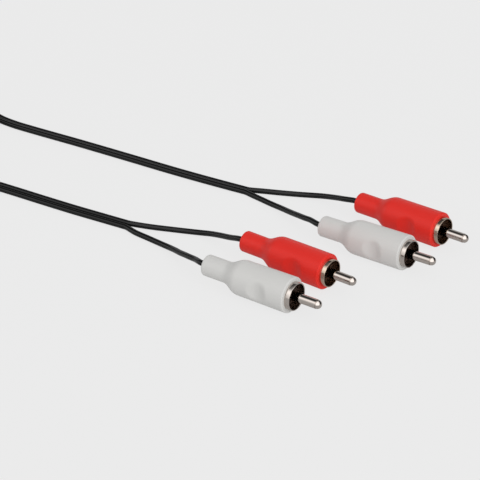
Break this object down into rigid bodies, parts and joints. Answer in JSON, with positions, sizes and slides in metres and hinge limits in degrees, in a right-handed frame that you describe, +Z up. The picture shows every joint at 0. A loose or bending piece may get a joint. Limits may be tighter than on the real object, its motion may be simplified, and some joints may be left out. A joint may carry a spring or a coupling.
{
  "type": "rca audio cable",
  "caption": "Stereo phono cable with white and red moulded plugs, nickel ground rings and pins at both ends, a flat twin cord and its spare length in a tied coil.",
  "frame": {"origin": "bottom centre of the box round the four plugs, on the surface that they lie on", "axes": "+X the way the pins point, +Y across the row of plugs towards the second pair, +Z up"},
  "size_m": [0.2656, 0.0816, 0.0127],
  "materials": {
    "white_moulding": "satin moulded",
    "red_moulding": "satin moulded",
    "nickel_plate": "bright nickel plate",
    "black_plastic": "matte",
    "copper": "bare wire",
    "core_plastic": "natural",
    "cord_jacket": "soft satin"
  },
  "bodies": {
    "root": {"white_a_grip": "white_moulding", "white_a_ring": "nickel_plate", "white_a_insulator": "black_plastic", "white_a_pin": "nickel_plate", "white_a_wire": "copper", "white_a_core": "core_plastic", "white_a_shield": "copper", "white_a_jacket": "cord_jacket", "white_a_leg": "cord_jacket", "red_a_grip": "red_moulding", "red_a_ring": "nickel_plate", "red_a_insulator": "black_plastic", "red_a_pin": "nickel_plate", "red_a_wire": "copper", "red_a_core": "core_plastic", "red_a_shield": "copper", "red_a_jacket": "cord_jacket", "red_a_leg": "cord_jacket", "white_b_grip": "white_moulding", "white_b_ring": "nickel_plate", "white_b_insulator": "black_plastic", "white_b_pin": "nickel_plate", "white_b_wire": "copper", "white_b_core": "core_plastic", "white_b_shield": "copper", "white_b_jacket": "cord_jacket", "white_b_leg": "cord_jacket", "red_b_grip": "red_moulding", "red_b_ring": "nickel_plate", "red_b_insulator": "black_plastic", "red_b_pin": "nickel_plate", "red_b_wire": "copper", "red_b_core": "core_plastic", "red_b_shield": "copper", "red_b_jacket": "cord_jacket", "red_b_leg": "cord_jacket", "cord_twin_a": "cord_jacket", "cord_twin_b": "cord_jacket", "cord_coil": "cord_jacket", "coil_tie": "black_plastic"}
  },
  "joints": []
}
